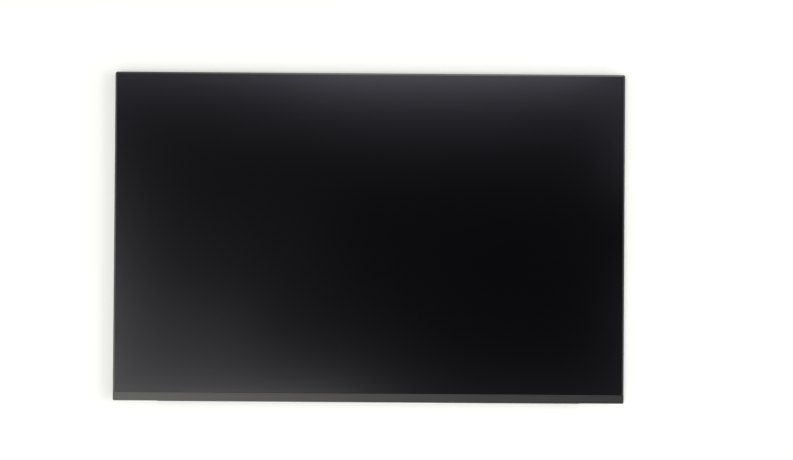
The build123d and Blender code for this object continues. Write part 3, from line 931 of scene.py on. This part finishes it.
def socket_solder():
    """Solder at the feet of the socket's contacts and along the feet of its cover."""
    shape = Shape("solder")
    for low, high in solid_boxes("video_socket_contacts"):
        shape.add(wedge(Vector(((low.x + high.x) / 2, high.y, board_rear)), to_top, *contact_solder))
    y = (socket_low.y + socket_high.y) / 2
    for x, outward in ((socket_high.x, to_right), (socket_low.x, to_left)):
        shape.add(wedge(Vector((x, y, board_rear)), outward, *foot_solder))
    shape.piece("socket_solder")


tail_joints = 6
tail_joint_pitch = 1.2
tail_joint_size = (0.42, 0.48, 0.13)
tail_joint_setback = 0.62


def tail_solder():
    """The row of solder domes that join the lamp strip's tail to the board."""
    shape = Shape("solder")
    for offset in spread(tail_joints, tail_joint_pitch):
        middle = ((tail_low.x + tail_high.x) / 2 + offset, tail_high.y - tail_joint_setback, tail_low.z)
        shape.add(dome(middle, tail_joint_size), 0, True)
    shape.piece("tail_solder")


# Copper leads on the board
lane_pitch = 0.12
lane_room = 0.55  # controller's edge to the nearest lane
pin_start = 2.9  # controller's middle to the first lead's pin
pin_step = 0.45
pin_reach = 0.20
inner_lanes = 6
outer_lanes = 5
data_lanes = 6
first_data_contact = 27  # counted from 0 at the left
data_start_gap = 0.32  # contacts' feet to the nearest lane
data_end_gap = 0.12  # controller's edge to the nearest lane
data_bend_gap = 1.0  # socket's end to the lanes' bend
drop_start = 2.0  # flex's near end to the first drop
drop_step = 5.0
outer_lane_y = -91.3
outer_bend_x = 78.0
outer_drop_start = 88.0
supply_leads = 3
supply_pitch = (2.4, 1.1)  # along and across the board
supply_start = (0.5, 2.5)  # in pitches, from the first contact and from the board's top edge
supply_width = 0.70
supply_gap = 0.45  # clear of parts and foils
lamp_lead_count = 4
lamp_lead_pitch = (1.6, 0.9)
lamp_lead_width = 0.60
lamp_lead_rise = 0.1  # top of the row of parts to the first lead
ground_inset = 0.50
ground_width = 0.30
ground_bottom = 1.8
ground_start = 86.0
ground_vias = 7
via_radius = 0.20
via_sides = 10
via_height = 0.02
via_pitch = 1.7
vias_in_row = 3
group_gap = 1.0  # parts closer than this along the board are one bank
widest_gap = 3.0  # between banks that have a row of vias between them

# Pads and print on the board
pad_height = 0.02
pad_sides = 20
test_radius = 0.45
test_pitch = 2.0
# The middle of each row of test points, and their number
test_rows = ((-112.0, -88.4, 6), (112.0, -88.4, 6), (53.0, -91.6, 7), (-49.0, -89.4, 4), (73.5, -88.0, 3))
hole_inset = 4.0
ring_radius = 1.5
ring_hole = 0.85
ring_sides = 32
dot_inset = 2.6
dot_places = (board_low.x + dot_inset, board_high.x - dot_inset)
dot_y = -92.4
print_room = 0.30
print_line = 0.12
print_height = 0.022
mark_room = 0.72
mark_radius = 0.16
mark_sides = 14
circle_sides = 28
bracket_arm = 2.0


def board_groups():
    """The plan of each chip, inductor or bank of small parts on the board, in order along it."""
    boxes = [extent(node) for node in chips + inductors]
    for node in ("capacitors", "resistors", "diodes"):
        boxes += solid_boxes(node)
    groups = []
    for low, high in sorted(boxes, key=lambda box: box[0].x):
        if groups and low.x - groups[-1][1].x < group_gap:
            groups[-1] = box_round([*groups[-1], low, high])
        else:
            groups.append((low, high))
    return groups


def pins(side, count, y):
    """Where leads leave the controller, from the outermost inwards."""
    return [(controller.x + side * (pin_start - pin_step * number), y) for number in range(count)]


def inner_leads(shape, side, flex):
    """Leads from the controller's bottom edge to the flex beside it."""
    flex_low, flex_high = extent(flex)
    near_end = flex_low.x if side > 0 else flex_high.x
    y = controller_low.y - lane_room
    starts = pins(side, inner_lanes, controller_low.y - pin_reach)
    drops = [near_end + side * (drop_start + drop_step * number) for number in reversed(range(inner_lanes))]
    lead_bundle(shape, [(0, y), (side, y)], -side * lane_pitch, starts, drops, flex_high.y)


def outer_leads(shape, side, flex):
    """Leads from the controller's top edge along the board and down to the flex at its end."""
    y = controller_high.y + lane_room
    fall = y - outer_lane_y
    starts = pins(side, outer_lanes, controller_high.y + pin_reach)
    drops = [side * (outer_drop_start + drop_step * number) for number in range(outer_lanes)]
    bend = side * outer_bend_x
    route = [(0, y), (bend, y), (bend + side * fall, outer_lane_y), (2 * bend, outer_lane_y)]
    lead_bundle(shape, route, side * lane_pitch, starts, drops, extent(flex)[1].y)


def socket_leads(shape):
    """Leads from the socket's contacts to the controller, and broad ones for its supply."""
    contacts = [((low.x + high.x) / 2, high.y) for low, high in solid_boxes("video_socket_contacts")]
    starts = contacts[first_data_contact:first_data_contact - data_lanes:-1]
    foot = contacts[0][1]
    upper, lower = foot + data_start_gap, controller_low.y - data_end_gap
    bend = socket_high.x + data_bend_gap
    route = [(0, upper), (bend, upper), (bend + upper - lower, lower), (0, lower)]
    lead_bundle(shape, route, lane_pitch, starts, [controller_low.x - pin_reach] * data_lanes)
    row_start = solid_boxes("resistors")[0][0].x - supply_gap
    for number in range(supply_leads):
        x = contacts[0][0] + supply_pitch[0] * (number + supply_start[0])
        y = board_high.y - supply_pitch[1] * (number + supply_start[1])
        shape.add(lead([(x, foot), (x, y), (row_start, y)], supply_width))


def lamp_leads(shape):
    """Broad leads from the end of the row of parts to the lamp strip's tail."""
    row_end = solid_boxes("resistors")[-1][1]
    for number in range(lamp_lead_count):
        x = tail_high.x - lamp_lead_pitch[0] * (number + 1)
        y = row_end.y + lamp_lead_rise - lamp_lead_pitch[1] * number
        shape.add(lead([(row_end.x + supply_gap, y), (x, y), (x, tail_high.y)], lamp_lead_width))


def ground_leads(shape, side, foil):
    """A ground lead round the board's end, on both sides of the grounding foil, with stitched vias."""
    foil_low, foil_high = extent(foil)
    outer, inner = (foil_high.x, foil_low.x) if side > 0 else (foil_low.x, foil_high.x)
    y = board_high.y - ground_inset
    x = side * (board_high.x - ground_inset)
    bottom = board_low.y + ground_bottom
    shape.add(lead([(outer + side * supply_gap, y), (x, y), (x, bottom)], ground_width))
    shape.add(lead([(inner - side * supply_gap, y), (side * ground_start, y)], ground_width))
    for number in range(1, ground_vias):
        via(shape, outer + (x - outer) * number / ground_vias, y)
        via(shape, x, y + (bottom - y) * number / ground_vias)


def via(shape, x, y):
    """The round pad of a via."""
    shape.add(disc(x, y, via_radius, via_sides, via_height))


def board_leads():
    """The copper leads and vias under the board's green mask."""
    shape = Shape("covered_copper")
    socket_leads(shape)
    lamp_leads(shape)
    for side, inner, outer, foil in (
        (-1, "source_flex_2", "source_flex_1", "left_grounding_foil"),
        (1, "source_flex_3", "source_flex_4", "right_grounding_foil"),
    ):
        inner_leads(shape, side, inner)
        outer_leads(shape, side, outer)
        ground_leads(shape, side, foil)
    groups = board_groups()
    for (_, before), (after, _) in zip(groups, groups[1:]):
        if after.x - before.x < widest_gap:
            for offset in spread(vias_in_row, via_pitch):
                via(shape, (before.x + after.x) / 2, controller.y + offset)
    shape.piece("board_leads")


def board_pads():
    """Gold plated pads: rows of test points, and a locating dot and a ring round a hole at each end."""
    shape = Shape("gold_plate")
    for x, y, count in test_rows:
        for offset in spread(count, test_pitch):
            shape.add(disc(x + offset, y, test_radius, pad_sides, pad_height))
    for x in (board_low.x + hole_inset, board_high.x - hole_inset):
        y = board_high.y - hole_inset
        shape.add(ring(x, y, ring_radius, ring_radius - ring_hole, ring_sides, pad_height))
    for x in dot_places:
        shape.add(disc(x, dot_y, test_radius, pad_sides, pad_height))
    shape.piece("board_pads")


def board_print():
    """White print: a line round each part or bank, a dot by each chip and brackets by the socket."""
    shape = Shape("white_print")
    room = Vector((print_room, print_room, 0))
    for low, high in board_groups():
        flat = square_face(low - room, high + room, board_rear)
        shape.add(raised(border_only(flat, print_line), print_height))
    for chip in chips:
        low, high = extent(chip)
        shape.add(disc(low.x - mark_room, high.y - print_room, mark_radius, mark_sides, print_height))
    for x in dot_places:
        shape.add(ring(x, dot_y, 2 * test_radius, print_line, circle_sides, print_height))
    for x, side in ((socket_low.x, 1), (socket_high.x, -1)):
        outer = x - side * mark_room
        low_y, high_y = socket_low.y + 2 * mark_room, socket_high.y + 2 * mark_room
        shape.add(lead([(outer, low_y), (outer, high_y), (x + side * bracket_arm, high_y)], print_line))
    shape.piece("board_print")


soldered_parts("capacitors", "capacitor_ceramic")
soldered_parts("resistors", "resistor_ceramic")
soldered_diodes()
chip_terminals()
chip_dimples()
inductor_windings()
socket_solder()
tail_solder()
board_leads()
board_pads()
board_print()


# Floor, light and camera, in metres
floor_size = 8.0
floor_color = (0.80, 0.798, 0.77, 1)
# What the camera sees besides the lit floor, so that open floor is white, near the panel and far from it
near_lift = (0.24, 0.24, 0.25)
far_lift = (0.76, 0.76, 0.80)
near_reach = 0.3
far_reach = 1.0


def floor_finish():
    """A plain white floor that keeps the panel's shadow."""
    paint = new_paint("white_floor")
    lit = paint.node("ShaderNodeBsdfDiffuse", {}, {"Color": floor_color})
    reach = paint.node("ShaderNodeVectorMath", {"operation": "LENGTH"}, {0: paint.place()}, "Value")
    lift = paint.blend(paint.step(reach, near_reach / mm, far_reach / mm), near_lift, far_lift)
    kinds = ("Is Camera Ray", "Is Glossy Ray", "Is Transmission Ray")
    rays = sum(paint.node("ShaderNodeLightPath", output=kind) for kind in kinds)
    glow = paint.node("ShaderNodeEmission", {}, {"Color": lift, "Strength": rays})
    return paint.close(paint.node("ShaderNodeAddShader", {}, {0: lit, 1: glow}))


def white_floor():
    """The floor under the panel, level with its rearmost point."""
    shape = bmesh.new()
    bmesh.ops.create_grid(shape, x_segments=1, y_segments=1, size=floor_size / 2)
    bmesh.ops.translate(shape, vec=(0, 0, cad_low.z), verts=shape.verts)
    mesh = new_mesh("white_floor", shape)
    mesh.materials.append(floor_finish())
    floor = new_object("white_floor", mesh)


pale_sky = (0.87, 0.865, 0.85)
dark_sky = (0.006, 0.006, 0.006)
sky_heights = (0.45, 0.88)  # where the sky starts to darken upwards, and where it is dark


def dim_sky():
    """Pale surroundings that are dark overhead, and white where the camera looks past the floor."""
    paint = Paint(bpy.data.worlds.new("surroundings"))
    up = paint.axis("Z", paint.node("ShaderNodeTexCoord", output="Generated"))
    light = paint.blend(paint.step(up, *sky_heights), pale_sky, dark_sky)
    seen = paint.node("ShaderNodeLightPath", output="Is Camera Ray")
    color = paint.blend(seen, light, (1, 1, 1))
    world = paint.close(paint.node("ShaderNodeBackground", {}, {"Color": color, "Strength": 1.0}))
    bpy.context.scene.world = world


def soft_box(name, place, target, size, brightness, tint=(1, 1, 1), mirrored=True):
    """A rectangular lamp at a place, facing a target. Its power follows from its size and brightness."""
    data = bpy.data.lights.new(name, "AREA")
    data.color = tint
    data.shape = "RECTANGLE"
    data.size, data.size_y = size
    data.energy = brightness * math.pi * size[0] * size[1]
    lamp = new_object(name, data)
    lamp.location = place
    lamp.rotation_euler = (Vector(target) - Vector(place)).to_track_quat("-Z", "Y").to_euler()
    lamp.visible_glossy = mirrored


box_height = 1.4
cool_light = (0.95, 0.945, 1.0)
warm_light = (0.99, 1.0, 0.91)

# Each overhead box: its limits across and along the panel, its brightness and its tint
overhead_boxes = {
    "top_right_box": ((0.20, 0.365), (0.295, 0.40), 5.6, cool_light),
    "top_box": ((-0.14, 0.20), (0.295, 0.40), 6.2, cool_light),
    "top_middle_box": ((-0.30, -0.14), (0.30, 0.41), 3.9, cool_light),
    "top_left_box": ((-0.55, -0.30), (0.30, 0.42), 2.4, cool_light),
    "upper_right_box": ((0.38, 0.57), (0.09, 0.38), 0.72, cool_light),
    "lower_right_box": ((0.41, 0.53), (-0.40, -0.03), 0.58, cool_light),
    "bottom_right_box": ((-0.05, 0.41), (-0.44, -0.27), 0.46, cool_light),
    "bottom_left_box": ((-0.48, -0.05), (-0.53, -0.31), 8.1, warm_light),
    "lower_left_box": ((-0.78, -0.54), (-0.56, -0.03), 11.5, warm_light),
    "upper_left_box": ((-0.70, -0.52), (-0.03, 0.21), 2.4, cool_light),
    "left_fill_box": ((-0.53, -0.10), (-0.10, 0.06), 0.08, warm_light),
    "corner_fill_box": ((-0.47, -0.22), (-0.29, -0.10), 0.43, warm_light),
}

# Each low box: its place and its brightness. All are the same size and face the panel, and the face doesn't
# mirror them, so that it stays dark seen from a low angle.
low_box_size = (1.6, 0.7)
low_boxes = {
    "low_right_box": ((1.5, -0.1, 0.50), 6.6),
    "low_left_box": ((-1.5, -0.1, 0.50), 1.4),
    "low_front_box": ((0.1, -1.5, 0.60), 0.5),
}


def studio_light():
    """Soft boxes round a dark opening over the panel, where the camera stands, and low ones round it."""
    for name, (across, along, brightness, tint) in overhead_boxes.items():
        middle = (sum(across) / 2, sum(along) / 2, box_height)
        below = (middle[0], middle[1], 0.0)
        soft_box(name, middle, below, (across[1] - across[0], along[1] - along[0]), brightness, tint)
    for name, (place, brightness) in low_boxes.items():
        soft_box(name, place, (0.0, 0.0, 0.0), low_box_size, brightness, mirrored=False)


lens = 60.0
camera_place = (0.01633, -0.00217, 0.7948)
camera_tilt = 0.5
camera_roll = 0.4


def overhead_camera():
    """A camera that looks down on the panel, turned a little as in the photograph."""
    data = bpy.data.cameras.new("overhead_camera")
    data.lens = lens
    camera = new_object("overhead_camera", data)
    camera.location = camera_place
    camera.rotation_euler = (math.radians(camera_tilt), 0, math.radians(camera_roll))
    bpy.context.scene.camera = camera


white_floor()
dim_sky()
studio_light()
overhead_camera()
bpy.context.scene.view_settings.view_transform = "Standard"
